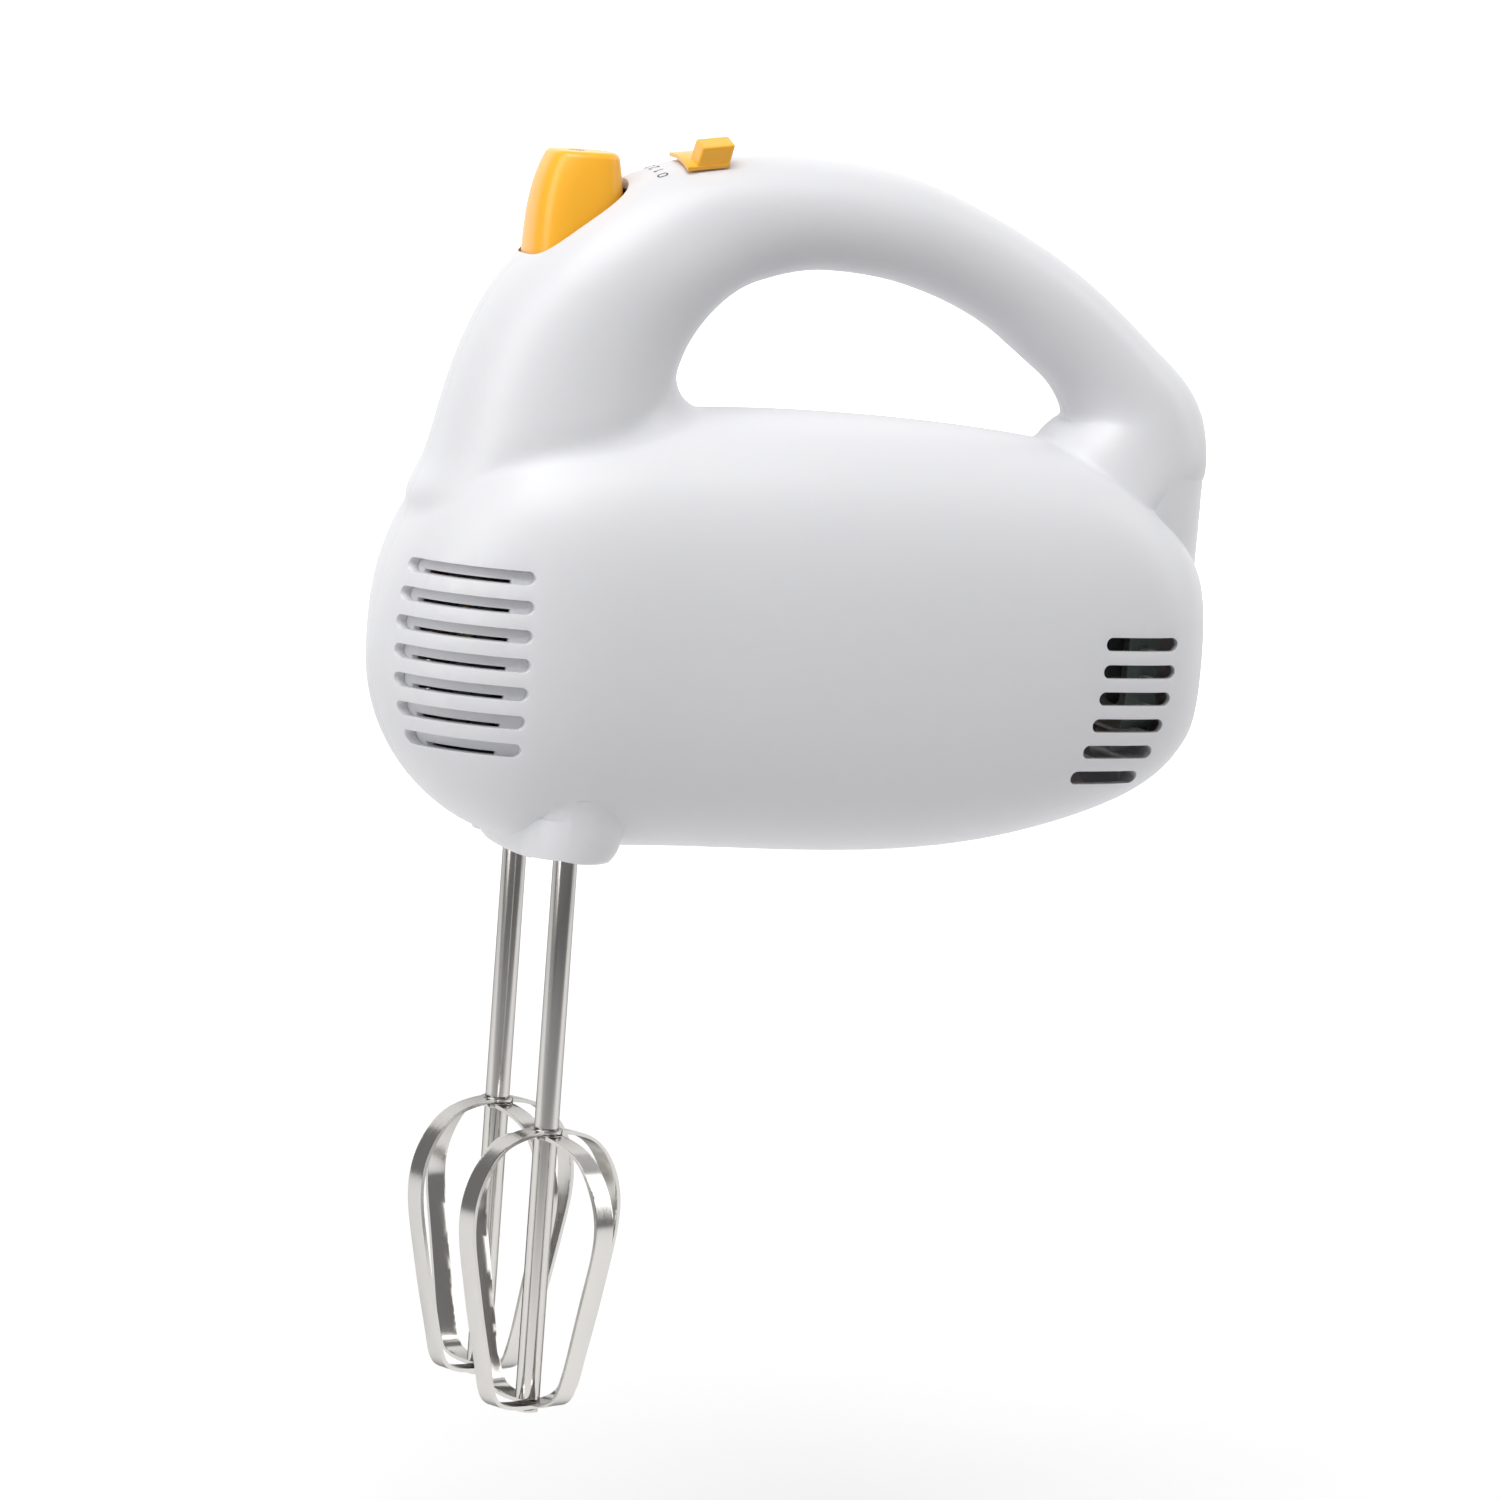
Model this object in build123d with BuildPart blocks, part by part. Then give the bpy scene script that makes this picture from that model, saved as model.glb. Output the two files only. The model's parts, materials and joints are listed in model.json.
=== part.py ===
from build123d import *
import os
from math import cos, degrees, hypot, pi, radians, sin, tan

# ---------------------------------------------------------------- driving dimensions (mm)
# The row's origin is the centre of the hand grip. Shapes are laid out from the drive datum:
# the plane of the two beater ports, midway between them, X rearwards, Y to the mixer's right, Z up.
GRIP_X, GRIP_Z = 70, 158
SPACING = 43                 # between the two beater axes
NOSE, HEEL = -46.5, 161.5    # front tip and flat rear heel of the body
WALL = 2.4
GAP = 0.4                    # play between moving covers and the housing
MOTOR_Z = 54                 # height of the motor axis over the port plane

MODULE, TEETH, STARTS = 1.15, 26, 2     # worm drive: both wheels run on one worm
WHEEL_R = MODULE * TEETH / 2
WORM_R = SPACING / 2 - WHEEL_R
LEAD = pi * MODULE * STARTS
TOOTH = 1.45                 # tooth and thread thickness at the pitch line, backlash taken off

SHAFT_R = 3.0                # beater shaft, 6 mm rod
BEATER_R = 23.6              # largest radius of the strips
HUB_Z, TIP_Z = -66.5, -136.0
STRIP_W, STRIP_T = 5.4, 1.0
HUB_R = 4.0                  # eye in each strip for the shaft
RIVET_R = 2.0                # the shaft's end, riveted through both strips
BEATER_TURN = {"left": 24.5, "right": 20.5}    # azimuth of the first strip, degrees

TRACK_TILT = 8               # slope of the ridge under the speed slider, degrees
SLIDER_SWING = 38            # the slider crosses the ridge on an arc, degrees

DRIVE = Plane(origin=(-GRIP_X, 0, -GRIP_Z))
SIDE = Plane(origin=DRIVE.origin, x_dir=(1, 0, 0), z_dir=(0, -1, 0))     # X across, Z up
CROSS = Plane(origin=DRIVE.origin, x_dir=(0, 1, 0), z_dir=(1, 0, 0))     # Y across, Z up
SIDES = {"left": -1, "right": 1}
ALONG_X = (0, 90, 0)
ALONG_Y = (90, 0, 0)


def at(x, y, z):
    """A point given from the drive datum."""
    return DRIVE.from_local_coords((x, y, z))


def level(z, x=0, y=0):
    """Horizontal plane at a height, centred on x, y."""
    return Plane(origin=at(x, y, z))


def section(plane, half_x, half_y, power=2.25):
    """A closed superellipse face on a plane, drawn as four Bezier quarters."""
    pull = (8 * 2 ** (-1 / power) - 4) / 3
    with BuildSketch(plane) as face:
        with BuildLine():
            for x, y in ((half_x, half_y), (-half_x, half_y), (-half_x, -half_y), (half_x, -half_y)):
                Bezier((x, 0), (x, pull * y), (pull * x, y), (0, y))
        make_face()
    return face.sketch


# ---------------------------------------------------------------- the body's outer form
FRONT_X, FRONT_LENGTH = -1.4, -1.4 - NOSE      # the plan is a half ellipse ahead of FRONT_X
REAR_X, REAR_LENGTH = 135, 31.5                # and draws in again behind REAR_X
EYE_Z = 50                                     # height of the nose's tip


def pod_section(x, inset):
    """Cross-section of the motor pod at x, moved inwards by inset."""
    mid_x = max(x, FRONT_X)
    top = 110 - 4 * ((mid_x - 55) / 67) ** 2 - 0.0095 * max(mid_x - 120, 0) ** 2 - inset
    bottom = 1.5 + (max(mid_x - 60, 0) / 30.2) ** 2.6 + inset
    half = 41.5 - 3.2 * (max(mid_x - 40, 0) / 70) ** 2 - inset
    if x < FRONT_X:
        shrink = (1 - ((FRONT_X - x) / (FRONT_LENGTH - inset)) ** 2) ** 0.5
        top = EYE_Z + (top - EYE_Z) * shrink
        bottom = EYE_Z + (bottom - EYE_Z) * shrink
        half = half * shrink
    height = (top - bottom) / 2
    if x > REAR_X:
        back = (x - REAR_X) / (REAR_LENGTH - inset)
        half = half * (1 - back ** 2.6) ** (1 / 2.6)
        height = height * (1 - back ** 4) ** (1 / 4)
    across = Plane(origin=at(x, 0, (top + bottom) / 2), x_dir=(0, 1, 0), z_dir=(1, 0, 0))
    return section(across, half, height, 2.6)


# Stations along the handle: outer line x, z, inner line x, z, half width
HANDLE = [
    (-37, 78, 22, 78, 27), (-35.9, 93.7, 23, 100, 26.5), (-30.8, 113.5, 24, 116, 25.5),
    (-20.5, 138.4, 28, 127, 24), (-5, 155, 35.5, 136.3, 22.5), (12.9, 166.5, 45, 141.7, 20),
    (38.4, 172, 56, 144.5, 18), (62, 172, 70, 144.5, 17), (82, 169, 83, 142.4, 16.5),
    (101.7, 161.8, 93.4, 139.1, 16), (119.4, 152.8, 107, 132.5, 16), (136, 141.5, 118.5, 124, 16.5),
    (151.5, 128, 126, 117.5, 17.5), (162.5, 114, 128.4, 111, 19), (164.5, 98, 121, 101, 21.5),
    (164, 74, 114, 84, 23)]


def handle_middle(station):
    """Centre of a handle station."""
    outer_x, outer_z, inner_x, inner_z, half = station
    return at((outer_x + inner_x) / 2, 0, (outer_z + inner_z) / 2)


def handle_section(station, inset):
    """Cross-section of the handle between its outer and inner line."""
    outer_x, outer_z, inner_x, inner_z, half = station
    run_x, run_z = outer_x - inner_x, outer_z - inner_z
    across = Plane(origin=handle_middle(station), x_dir=(0, 1, 0), z_dir=(run_z, 0, -run_x))
    return section(across, half - inset, hypot(run_x, run_z) / 2 - inset, 2.3)


def pod_form(inset):
    """The closed form of the motor pod, moved inwards by inset."""
    stops = [NOSE + inset + step for step in (0.05, 0.6, 2, 5, 10, 17, 28)]
    stops += [FRONT_X, 20, 50, 80, 110, REAR_X, 148, 156, HEEL - inset]
    with BuildPart() as form:
        for x in stops:
            add(pod_section(x, inset))
        loft()
    return form.part


def body_form(inset):
    """The closed form of the body, pod and handle in one, moved inwards by inset."""
    with BuildPart() as form:
        add(pod_form(inset))
        with BuildLine() as spine:
            Spline(*[handle_middle(station) for station in HANDLE])
        bands = [handle_section(station, inset) for station in HANDLE]
        sweep(sections=bands, path=spine.line, multisection=True)
        with Locations(at(HEEL - inset + 20, 0, 90)):
            Box(40, 120, 200, mode=Mode.SUBTRACT)
    return form.part


# Solids for use inside a BuildPart block; all take drive coordinates
def rod_x(radius, x0, x1, y=0, z=MOTOR_Z, mode=Mode.ADD):
    """Round bar along X."""
    with Locations(at((x0 + x1) / 2, y, z)):
        Cylinder(radius, x1 - x0, rotation=ALONG_X, mode=mode)


def rod_y(radius, y0, y1, x, z, mode=Mode.ADD):
    """Round bar along Y."""
    with Locations(at(x, (y0 + y1) / 2, z)):
        Cylinder(radius, y1 - y0, rotation=ALONG_Y, mode=mode)


def rod_z(radius, z0, z1, x=0, y=0, mode=Mode.ADD):
    """Round bar along Z."""
    with Locations(at(x, y, (z0 + z1) / 2)):
        Cylinder(radius, z1 - z0, mode=mode)


def block(x0, x1, y0, y1, z0, z1, mode=Mode.ADD):
    """Square block between two corners."""
    with Locations(at((x0 + x1) / 2, (y0 + y1) / 2, (z0 + z1) / 2)):
        Box(x1 - x0, y1 - y0, z1 - z0, mode=mode)


pieces = {}                  # node name to its BuildPart

# ---------------------------------------------------------------- housing halves
NOTCH_Z = 85                 # groove across the heel, where the cord's inlet sits
INLET_R = 5.4
FRONT_BLEND, REAR_BLEND = 9, 3       # blends where the handle's legs meet the pod
BOSS_X = 1.5                 # the beater boss is a little behind the beater axes
PORT_R, SEAT_R, SEAT_Z = 8.6, 9.3, 10.5    # beater ports, and the gear frame's feet on them
VENT_FRONT, VENT_REAR = 7, 6.8       # pitch of the vent slots
SLOT_H = 3.5
FRONT_ROWS = [28 + VENT_FRONT * row for row in range(7)]    # heights of the front slots
FRONT_SLOT_X, FRONT_SLOT_Y = -19, 14.5      # centres of a front slot's two rounded ends
SCREWS = [(-22, 113), (96, 151), (150, 112), (62, 11), (146, 30)]       # x, z
SCREW_Y = 11                 # seat of the screw heads
STATOR = (98, 128)           # x span of the laminations
STATOR_W, STATOR_H = 50, 54
BRACKET = (141, 149)         # x span of the rear bearing bracket
SHELF_Z = 78                 # shelf under the cord clamp


def vent(x0, x1, z, side):
    """A vent slot with rounded ends through one cheek of the wall."""
    with BuildSketch(SIDE.offset(-15 * side)) as mouth:
        with Locations(((x0 + x1) / 2, z)):
            SlotOverall(x1 - x0, SLOT_H)
    extrude(mouth.sketch, amount=-30 * side, mode=Mode.SUBTRACT)


def front_vent(height, side):
    """A slot that wraps round the nose, its ends rounded on the front and on the cheek."""
    inner_y, rear_x, round_r = side * FRONT_SLOT_Y, FRONT_SLOT_X, SLOT_H / 2
    near_y, far_y = sorted((inner_y, side * 50))
    block(-48, rear_x, near_y, far_y, height - round_r, height + round_r, mode=Mode.SUBTRACT)
    rod_x(round_r, -48, rear_x, y=inner_y, z=height, mode=Mode.SUBTRACT)
    rod_y(round_r, near_y, far_y, rear_x, height, mode=Mode.SUBTRACT)


def bulkhead(x0, x1, width, height, corner, z, top=112):
    """A rib across the pod with a rounded window that holds a motor part."""
    with BuildPart() as rib:
        block(x0, x1, -60, 60, 0, top)
        with BuildSketch(CROSS.offset(x0)) as window:
            with Locations((0, z)):
                RectangleRounded(width, height, corner)
        extrude(window.sketch, amount=x1 - x0, mode=Mode.SUBTRACT)
        add(outer_pod, mode=Mode.INTERSECT)
    return rib.part


outer_pod = pod_form(0)
sharp_form = body_form(0)
creases = sharp_form.edges().filter_by(lambda e: abs(e.center().Y) > 10 and e.length > 50)
front_crease = creases.filter_by(lambda e: e.center().X < 0)
rear_crease = creases.filter_by(lambda e: e.center().X > 0)
outer_form = sharp_form.fillet(FRONT_BLEND, front_crease).fillet(REAR_BLEND, rear_crease)
core_form = body_form(WALL)

with BuildPart() as boss:
    for z, half_x, half_y in ((0, 12.4, 30), (2.2, 13.9, 31.6), (7, 15.2, 32.6), (16, 19, 33.6)):
        add(section(level(z, BOSS_X), half_x, half_y, 2.5))
    loft()

with BuildPart() as screw_posts:
    for x, z in SCREWS:
        rod_y(4.6, -60, 60, x, z)
    add(outer_form, mode=Mode.INTERSECT)

with BuildPart() as shelf:
    block(141, 152, -60, 60, SHELF_Z, SHELF_Z + 2.5)
    add(outer_pod, mode=Mode.INTERSECT)

# ridge of the handle under the speed slider; the slider swings across it about an axis below
TRACK_X, TRACK_Z = 30, 171.3
TRACK = Plane(
    origin=at(TRACK_X, 0, TRACK_Z),
    x_dir=(cos(radians(TRACK_TILT)), 0, sin(radians(TRACK_TILT))),
    z_dir=(-sin(radians(TRACK_TILT)), 0, cos(radians(TRACK_TILT))))
SWING_R = 28                 # the ridge's own radius across the handle
SWING_AXIS = Plane(origin=TRACK.from_local_coords((0, 0, -SWING_R)), x_dir=(0, 1, 0), z_dir=TRACK.x_dir)


def arc_block(x0, x1, r0, r1, turn0, turn1, mode=Mode.ADD):
    """Curved block about the slider's axis; turns are degrees from upright, positive to the right."""
    with BuildSketch(SWING_AXIS.offset(x0)) as ring:
        with BuildLine():
            outer = CenterArc((0, 0), r1, 90 - turn1, turn1 - turn0)
            inner = CenterArc((0, 0), r0, 90 - turn1, turn1 - turn0)
            Line(outer @ 0, inner @ 0)
            Line(outer @ 1, inner @ 1)
        make_face()
    extrude(ring.sketch, amount=x1 - x0, mode=mode)


BUTTON = ((138, -2.85, 11.9, 11.2), (150, -2.75, 11.6, 11.0), (160, -2.5, 10.9, 10.2), (171, -1.5, 8.3, 8.2))

with BuildPart() as body:
    add(outer_form)
    add(boss.part)
    add(core_form, mode=Mode.SUBTRACT)
    for rib in ((104, 106), (120, 122)):
        add(bulkhead(*rib, STATOR_W + 0.2, STATOR_H + 0.2, 12, MOTOR_Z))
    add(bulkhead(144, 146, 48.2, 36.2, 6, MOTOR_Z, top=76))
    add(screw_posts.part)
    add(shelf.part)
    for side in SIDES.values():
        axis_y = side * SPACING / 2
        rod_z(11, 1, SEAT_Z, y=axis_y)
        rod_z(PORT_R, -5, 20, y=axis_y, mode=Mode.SUBTRACT)
        rod_z(SEAT_R + GAP, SEAT_Z, 40, y=axis_y, mode=Mode.SUBTRACT)
        for height in FRONT_ROWS:
            front_vent(height, side)
        for row in range(6):
            height = 59 - VENT_REAR * row
            vent(130.4 - 0.14 * row ** 2.2, 151 - 0.2 * row ** 2.1, height, side)
    rod_y(12, -45, 45, HEEL + 11.2, NOTCH_Z, mode=Mode.SUBTRACT)
    rod_x(INLET_R, 150, HEEL + 5, z=NOTCH_Z, mode=Mode.SUBTRACT)
    rod_x(7.8, 152.5, HEEL - WALL, z=NOTCH_Z, mode=Mode.SUBTRACT)
    for x, z in SCREWS:
        rod_y(1.5, -12, SCREW_Y, x, z, mode=Mode.SUBTRACT)
        rod_y(3.4, SCREW_Y, 60, x, z, mode=Mode.SUBTRACT)
    # well of the eject button
    floor_z, middle_x, half_x, half_y = BUTTON[0]
    well = section(level(floor_z, middle_x), half_x + GAP, half_y + GAP, 3)
    extrude(well, amount=60, mode=Mode.SUBTRACT)
    # slot for the speed slider's stem
    arc_block(-2.2, 2.2, 20, 36, -SLIDER_SWING / 2 - 4, SLIDER_SWING / 2 + 4, mode=Mode.SUBTRACT)

for name, side in SIDES.items():
    with BuildPart() as half:
        add(body.part)
        split(bisect_by=Plane.XZ, keep=Keep.TOP if side < 0 else Keep.BOTTOM)
    pieces["housing_" + name] = half

# liner behind the front vents, with a slit at the foot of every slot
SLIT_H = 0.9
with BuildPart() as front_louvre:
    block(-44, -14, -45, 45, 22, 76)
    add(pod_form(WALL + 0.1), mode=Mode.INTERSECT)
    add(pod_form(WALL + 1.5), mode=Mode.SUBTRACT)
    for height in FRONT_ROWS:
        foot = height - SLOT_H / 2
        for side in SIDES.values():
            near_y, far_y = sorted((side * 15.5, side * 50))
            block(-45, -22, near_y, far_y, foot, foot + SLIT_H, mode=Mode.SUBTRACT)
pieces["front_louvre"] = front_louvre

with BuildPart() as housing_screws:
    for x, z in SCREWS:
        rod_y(3.0, SCREW_Y, SCREW_Y + 2.2, x, z)
        rod_y(1.5, -10, SCREW_Y, x, z)
        with Locations(at(x, SCREW_Y + 2.2, z)):
            Box(3.6, 1.6, 0.7, mode=Mode.SUBTRACT)
            Box(0.7, 1.6, 3.6, mode=Mode.SUBTRACT)
pieces["housing_screws"] = housing_screws

# ---------------------------------------------------------------- cord inlet, no cord
INLET_BORE = 3.3
with BuildPart() as cord_gland:
    rod_x(INLET_R, 152, 160, z=NOTCH_Z)
    rod_x(7.4, 156, HEEL - WALL - 0.05, z=NOTCH_Z)
    rod_x(INLET_BORE, 150, 162, z=NOTCH_Z, mode=Mode.SUBTRACT)
pieces["cord_gland"] = cord_gland

with BuildPart() as cord_clamp:
    block(143, 150, -11, 11, SHELF_Z + 2.5, 91)
    rod_x(3.6, 140, 155, z=NOTCH_Z, mode=Mode.SUBTRACT)
    for y in (-7.6, 7.6):
        rod_z(1.5, 70, 95, x=146.5, y=y, mode=Mode.SUBTRACT)
pieces["cord_clamp"] = cord_clamp

with BuildPart() as clamp_screws:
    for y in (-7.6, 7.6):
        rod_z(1.5, SHELF_Z + 2.6, 91, x=146.5, y=y)
        rod_z(2.8, 91, 93, x=146.5, y=y)
pieces["clamp_screws"] = clamp_screws

# ---------------------------------------------------------------- gear frame
PLATE_Z, BRIDGE_Z = 23, 63   # undersides of the two plates, 4 mm thick each
PLATE_T = 4
POSTS = [(x, y) for x in (-20, 20) for y in (-11, 11)]
BUSH_R, TOP_BUSH_R = 8, 7
SPINDLE_R = 5.5
RUN = 0.06                   # radial running clearance


def plate(z, ears):
    """Plate with an ear round each spindle."""
    block(-24, 28, -15, 15, z, z + PLATE_T)
    for side in SIDES.values():
        rod_z(ears, z, z + PLATE_T, y=side * SPACING / 2)


with BuildPart() as gear_frame:
    plate(PLATE_Z, 11)
    for side in SIDES.values():
        rod_z(SEAT_R, SEAT_Z, PLATE_Z, y=side * SPACING / 2)
    for x, y in POSTS:
        rod_z(3, PLATE_Z, BRIDGE_Z, x=x, y=y)
        rod_z(1.5, BRIDGE_Z - 9, BRIDGE_Z, x=x, y=y, mode=Mode.SUBTRACT)
    for x0, x1 in ((-23, -18), (17.5, 24.5)):
        block(x0, x1, -7, 7, PLATE_Z, 61.5)
    rod_x(5, -25, 26, mode=Mode.SUBTRACT)
    for side in SIDES.values():
        rod_z(BUSH_R, 0, 40, y=side * SPACING / 2, mode=Mode.SUBTRACT)
pieces["gear_frame"] = gear_frame

with BuildPart() as gear_bridge:
    plate(BRIDGE_Z, 10)
    for side in SIDES.values():
        rod_z(TOP_BUSH_R, 60, 70, y=side * SPACING / 2, mode=Mode.SUBTRACT)
    for x, y in POSTS:
        rod_z(1.6, 60, 70, x=x, y=y, mode=Mode.SUBTRACT)
pieces["gear_bridge"] = gear_bridge

with BuildPart() as bridge_screws:
    for x, y in POSTS:
        rod_z(1.5, BRIDGE_Z - 8, BRIDGE_Z + PLATE_T, x=x, y=y)
        rod_z(2.9, BRIDGE_Z + PLATE_T, BRIDGE_Z + PLATE_T + 2, x=x, y=y)
pieces["bridge_screws"] = bridge_screws

with BuildPart() as spindle_bushes:
    for side in SIDES.values():
        axis_y = side * SPACING / 2
        rod_z(BUSH_R, 12, PLATE_Z + PLATE_T, y=axis_y)
        rod_z(TOP_BUSH_R, BRIDGE_Z, BRIDGE_Z + PLATE_T, y=axis_y)
        rod_z(SPINDLE_R + RUN, 0, 80, y=axis_y, mode=Mode.SUBTRACT)
pieces["spindle_bushes"] = spindle_bushes

with BuildPart() as thrust_washers:
    for side in SIDES.values():
        axis_y = side * SPACING / 2
        rod_z(9.5, PLATE_Z + PLATE_T, PLATE_Z + PLATE_T + 1, y=axis_y)
        rod_z(SPINDLE_R + 0.3, 0, 80, y=axis_y, mode=Mode.SUBTRACT)
pieces["thrust_washers"] = thrust_washers

# ---------------------------------------------------------------- spindles, wheels and worm
COLLAR_R = 7.2
SPINDLE_TOP = 66.6           # clear of the pin's head when it is pressed down 5 mm
BEATER_TOP = 46
PIN_R, PIN_TOP = 2.5, 74     # ejector pin inside each spindle
WHEEL_FACE = 10
FLANK = tan(radians(20))
PER_TOOTH = 360 / TEETH


def wheel_profile(turn):
    """Outline of the toothed rim: straight-flanked teeth, each a trapezoid."""
    tip, root = WHEEL_R + 0.95 * MODULE, WHEEL_R - 1.25 * MODULE
    tip_half = degrees((TOOTH / 2 - 0.95 * MODULE * FLANK) / tip)
    root_half = degrees((TOOTH / 2 + 1.25 * MODULE * FLANK) / root)
    rim = []
    for k in range(TEETH):
        middle = turn + PER_TOOTH * k
        for radius, swing in ((root, -root_half), (tip, -tip_half), (tip, tip_half), (root, root_half)):
            angle = radians(middle + swing)
            rim.append((radius * cos(angle), radius * sin(angle)))
    return rim


for name, side in SIDES.items():
    axis_y = side * SPACING / 2
    with BuildPart() as spindle:
        rod_z(COLLAR_R, 1.5, 11.5, y=axis_y)
        rod_z(SPINDLE_R, 11.5, SPINDLE_TOP, y=axis_y)
        rod_z(SHAFT_R + RUN, 0, BEATER_TOP + 1, y=axis_y, mode=Mode.SUBTRACT)
        rod_z(PIN_R + RUN, 40, 80, y=axis_y, mode=Mode.SUBTRACT)
        block(-5, 5, axis_y - 1, axis_y + 1, 1, 10.5, mode=Mode.SUBTRACT)
    pieces["spindle_" + name] = spindle

    # a gap faces the worm, and the teeth lean with the worm's lead
    lean = degrees(LEAD / (2 * pi * WORM_R) / WHEEL_R) * WHEEL_FACE / 2
    facing = -90 * side + PER_TOOTH / 2
    with BuildPart() as wheel:
        for turn, z in ((facing - lean, MOTOR_Z - WHEEL_FACE / 2), (facing + lean, MOTOR_Z + WHEEL_FACE / 2)):
            with BuildSketch(level(z, 0, axis_y)) as rim:
                Polygon(*wheel_profile(turn), align=None)
        loft(ruled=True)
        rod_z(8, PLATE_Z + PLATE_T + 1.3, 62, y=axis_y)
        rod_z(SPINDLE_R, 0, 80, y=axis_y, mode=Mode.SUBTRACT)
    pieces["worm_wheel_" + name] = wheel

    with BuildPart() as ejector_pin:
        rod_z(PIN_R, BEATER_TOP + 0.3, PIN_TOP, y=axis_y)
        rod_z(4, PIN_TOP - 2, PIN_TOP, y=axis_y)
    pieces["ejector_pin_" + name] = ejector_pin

WORM_ROOT = WORM_R - 1.25 * MODULE
MOTOR_AXIS = Axis(at(0, 0, MOTOR_Z), (1, 0, 0))
THREAD_START = -7 * LEAD / 4         # puts a thread crest at X = 0 on both flanks
with BuildPart() as thread:
    with BuildLine() as helix:
        Helix(LEAD, -2 * THREAD_START, WORM_R, center=at(THREAD_START, 0, MOTOR_Z), direction=(1, 0, 0))
    with BuildSketch(Plane(origin=helix.line @ 0, x_dir=(0, 0, 1), z_dir=helix.line % 0)):
        crest, foot = 0.95 * MODULE, -1.35 * MODULE
        crest_half, foot_half = TOOTH / 2 - crest * FLANK, TOOTH / 2 - foot * FLANK
        Polygon((foot, -foot_half), (crest, -crest_half), (crest, crest_half), (foot, foot_half), align=None)
    sweep(path=helix.line, is_frenet=True)
with BuildPart() as worm:
    rod_x(WORM_ROOT, -14, 14)
    for start in range(STARTS):
        add(thread.part.rotate(MOTOR_AXIS, 360 / STARTS * start))
    rod_x(2.5, -20, 20, mode=Mode.SUBTRACT)
pieces["worm"] = worm

# ---------------------------------------------------------------- eject button and yoke
with BuildPart() as eject_button:
    for z, middle_x, half_x, half_y in BUTTON:
        add(section(level(z, middle_x), half_x, half_y, 3))
    loft()
    fillet(eject_button.faces().sort_by(Axis.Z)[-1].edges(), 2)
pieces["eject_button"] = eject_button

YOKE_Z = 84                  # underside of the crossbar
with BuildPart() as eject_yoke:
    block(-4, 4, -5, 5, YOKE_Z, BUTTON[0][0])
    block(-4, 4, -26, 26, YOKE_Z, YOKE_Z + 8)
    for side in SIDES.values():
        rod_z(4.5, PIN_TOP + 0.3, YOKE_Z + 2, y=side * SPACING / 2)
pieces["eject_yoke"] = eject_yoke

with BuildPart() as eject_spring:
    with BuildLine() as coil:
        Helix(3.1, YOKE_Z - 0.8 - (BRIDGE_Z + PLATE_T + 0.8), 4.6, center=at(0, 0, BRIDGE_Z + PLATE_T + 0.8))
    with BuildSketch(Plane(origin=coil.line @ 0, z_dir=coil.line % 0)):
        Circle(0.6)
    sweep(path=coil.line, is_frenet=True)
pieces["eject_spring"] = eject_spring

# ---------------------------------------------------------------- motor
JOURNAL_R, CORE_R, TAIL_R = 2.5, 4.0, 3.0
AIR_GAP = 0.6
ROTOR_R = 14.0
BORE_R = ROTOR_R + AIR_GAP
COMMUTATOR = (66, 80)
BRUSH_X = 73
BRUSH_PLATE = (82, 85)

with BuildPart() as motor_shaft:
    rod_x(JOURNAL_R, -24, 25)
    rod_x(CORE_R, 25, 138)
    rod_x(TAIL_R, 138, 151)
pieces["motor_shaft"] = motor_shaft

with BuildPart() as front_bearings:
    rod_x(5, -23, -18)
    rod_x(5, 17.5, 24.5)
    rod_x(JOURNAL_R + RUN, -25, 30, mode=Mode.SUBTRACT)
pieces["front_bearings"] = front_bearings

with BuildPart() as rear_bearing:
    rod_x(7, *BRACKET)
    rod_x(TAIL_R + RUN, 140, 152, mode=Mode.SUBTRACT)
pieces["rear_bearing"] = rear_bearing

FAN_R, FAN_HUB, BLADES = 28, 7.5, 12
with BuildPart() as fan:
    rod_x(FAN_R, 43, 44.4)
    rod_x(FAN_HUB, 33, 44.4)
    for k in range(BLADES):
        turn = 360 / BLADES * k
        out = (FAN_R + 7) / 2 - 0.5
        mid = at(38.5, out * cos(radians(turn)), MOTOR_Z + out * sin(radians(turn)))
        with Locations(Location(mid, (turn, 0, 0))):
            Box(9.5, FAN_R - 7, 1.4)
    rod_x(CORE_R, 30, 50, mode=Mode.SUBTRACT)
pieces["fan"] = fan

SLOTS = 12


def rotor_slots(inner, outer, width, x0, x1, mode=Mode.ADD):
    """Bars along X in a ring, one per rotor slot."""
    for k in range(SLOTS):
        turn = 360 / SLOTS * k
        out = (inner + outer) / 2
        mid = at((x0 + x1) / 2, out * cos(radians(turn)), MOTOR_Z + out * sin(radians(turn)))
        with Locations(Location(mid, (turn, 0, 0))):
            Box(x1 - x0, outer - inner, width, mode=mode)


with BuildPart() as armature_core:
    rod_x(ROTOR_R, *STATOR)
    rod_x(CORE_R, 90, 140, mode=Mode.SUBTRACT)
    rotor_slots(8, 15, 3.0, *STATOR, mode=Mode.SUBTRACT)
pieces["armature_core"] = armature_core

with BuildPart() as armature_windings:
    rod_x(12.2, 89, STATOR[0] - 0.1)
    rod_x(9.5, 83.3, 89)
    rod_x(12.2, STATOR[1] + 0.1, 136)
    rod_x(CORE_R, 80, 140, mode=Mode.SUBTRACT)
    rotor_slots(8.1, 12.2, 2.8, STATOR[0] - 1, STATOR[1] + 1)
pieces["armature_windings"] = armature_windings

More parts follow.
